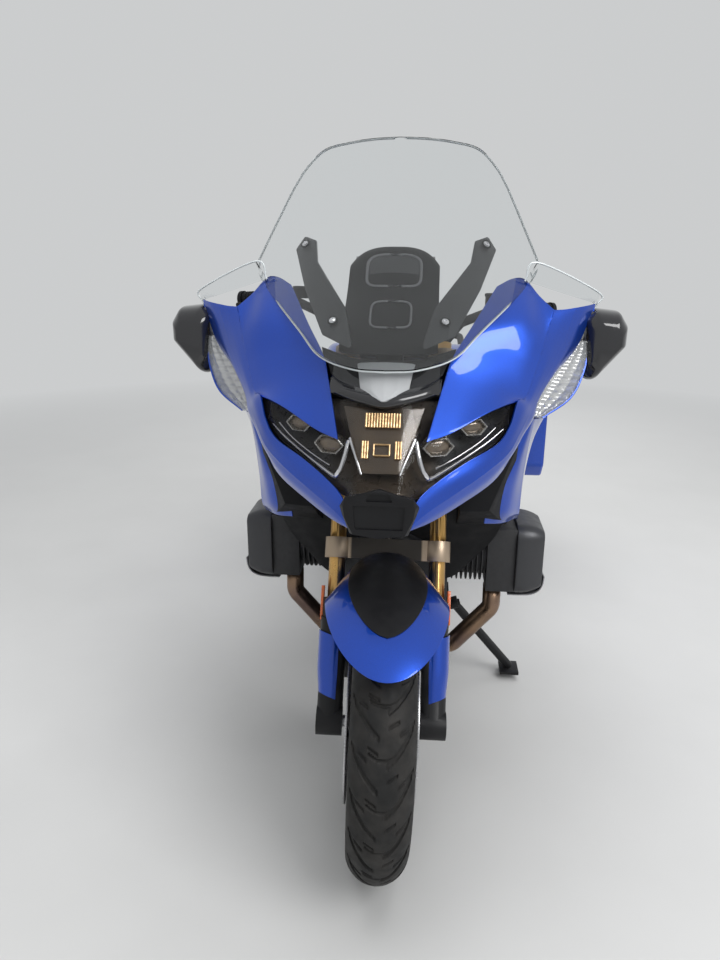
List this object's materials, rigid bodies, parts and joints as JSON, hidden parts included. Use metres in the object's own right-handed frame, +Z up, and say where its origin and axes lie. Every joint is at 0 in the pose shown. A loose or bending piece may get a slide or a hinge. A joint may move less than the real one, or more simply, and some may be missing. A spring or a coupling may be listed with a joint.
{
  "type": "touring motorcycle",
  "caption": "Fully faired touring motorcycle with a flat twin engine, shaft drive, tall screen and side cases, parked on its centre stand.",
  "frame": {"origin": "on the floor below the middle of the machine's length and width", "axes": "+X to the rider's left, +Y to the tail, +Z up; the nose points to -Y"},
  "size_m": [0.9848, 2.2205, 1.484],
  "materials": {
    "paint": "metallic blue paint",
    "black_plastic": "satin black plastic",
    "grey_plastic": "satin dark grey plastic",
    "clear": "clear acrylic",
    "lens": "clear lamp lens",
    "lamp": "bright reflector",
    "red_lens": "red lens",
    "frame_black": "black powder coat",
    "cast": "cast aluminium",
    "graphite": "graphite satin paint",
    "bronze": "tan anodised",
    "gold": "gold anodised",
    "steel": "steel",
    "header": "heat tinted steel",
    "tyre": "tyre rubber",
    "seat": "black grained seat cover",
    "reflector": "orange reflector",
    "display": "dark display glass",
    "mirror": "silvered mirror glass"
  },
  "bodies": {
    "chassis": {"main_frame": "frame_black", "engine_block": "cast", "cylinders": "cast", "head_covers": "graphite", "exhaust_headers": "header", "silencer": "steel", "suspension_arm": "frame_black", "swingarm": "frame_black", "rear_axle": "steel", "stand_carrier": "frame_black", "footrests": "frame_black", "fairing_left": "paint", "fairing_right": "paint", "side_panel_left": "paint", "side_panel_right": "paint", "inner_fairing": "black_plastic", "front_cowl": "black_plastic", "nose_plate": "black_plastic", "headlight_lens": "lens", "headlight_housing": "lamp", "indicator_lenses": "lens", "windscreen": "clear", "screen_arms": "grey_plastic", "wind_deflectors": "clear", "mirrors": "black_plastic", "mirror_glasses": "mirror", "side_covers": "grey_plastic", "dash": "black_plastic", "instrument_panel": "display", "tank_cover": "paint", "rider_seat": "seat", "passenger_seat": "seat", "tail_cowl": "paint", "luggage_rack": "frame_black", "rear_lamp": "red_lens", "rear_mudguard": "black_plastic", "pannier_left": "black_plastic", "pannier_right": "black_plastic"},
    "steering_assembly": {"fork_sliders": "graphite", "fork_stanchions": "gold", "fork_bridges": "bronze", "front_axle": "steel", "handlebars": "frame_black", "front_mudguard": "paint", "mudguard_insert": "black_plastic", "brake_calipers": "frame_black", "reflectors": "reflector"},
    "front_wheel": {"front_tyre": "tyre", "front_rim": "cast", "front_discs": "steel"},
    "rear_wheel": {"rear_tyre": "tyre", "rear_rim": "cast"},
    "centre_stand_body": {"centre_stand": "frame_black"},
    "side_stand_body": {"side_stand": "frame_black"},
    "left_case_lid": {"pannier_lid_left": "paint"},
    "right_case_lid": {"pannier_lid_right": "paint"}
  },
  "joints": [
    {"name": "steering", "type": "hinge", "parent": "chassis", "child": "steering_assembly", "pos_m": [0, -0.78651, 0.28805], "axis": [0, 0.4384, 0.8988], "range_deg": [-36, 28]},
    {"name": "front_wheel_spin", "type": "hinge", "parent": "steering_assembly", "child": "front_wheel", "pos_m": [0.0019, -0.81094, 0.29997], "axis": [0.9976, 0.0627, -0.0306], "continuous": true},
    {"name": "rear_wheel_spin", "type": "hinge", "parent": "chassis", "child": "rear_wheel", "pos_m": [0, 0.674, 0.323], "axis": [1, 0, 0], "continuous": true},
    {"name": "centre_stand_swing", "type": "hinge", "parent": "chassis", "child": "centre_stand_body", "pos_m": [0, 0.061, 0.238], "axis": [1, 0, 0], "range_deg": [0, 85]},
    {"name": "side_stand_swing", "type": "hinge", "parent": "chassis", "child": "side_stand_body", "pos_m": [0.172, -0.171, 0.262], "axis": [0.9578, 0, 0.2873], "range_deg": [0, 78]},
    {"name": "left_case_lid_swing", "type": "hinge", "parent": "chassis", "child": "left_case_lid", "pos_m": [0.372, 0.374, 0.47], "axis": [0, 1, 0], "range_deg": [0, 50]},
    {"name": "right_case_lid_swing", "type": "hinge", "parent": "chassis", "child": "right_case_lid", "pos_m": [-0.372, 0.374, 0.47], "axis": [0, -1, 0], "range_deg": [0, 50]}
  ]
}
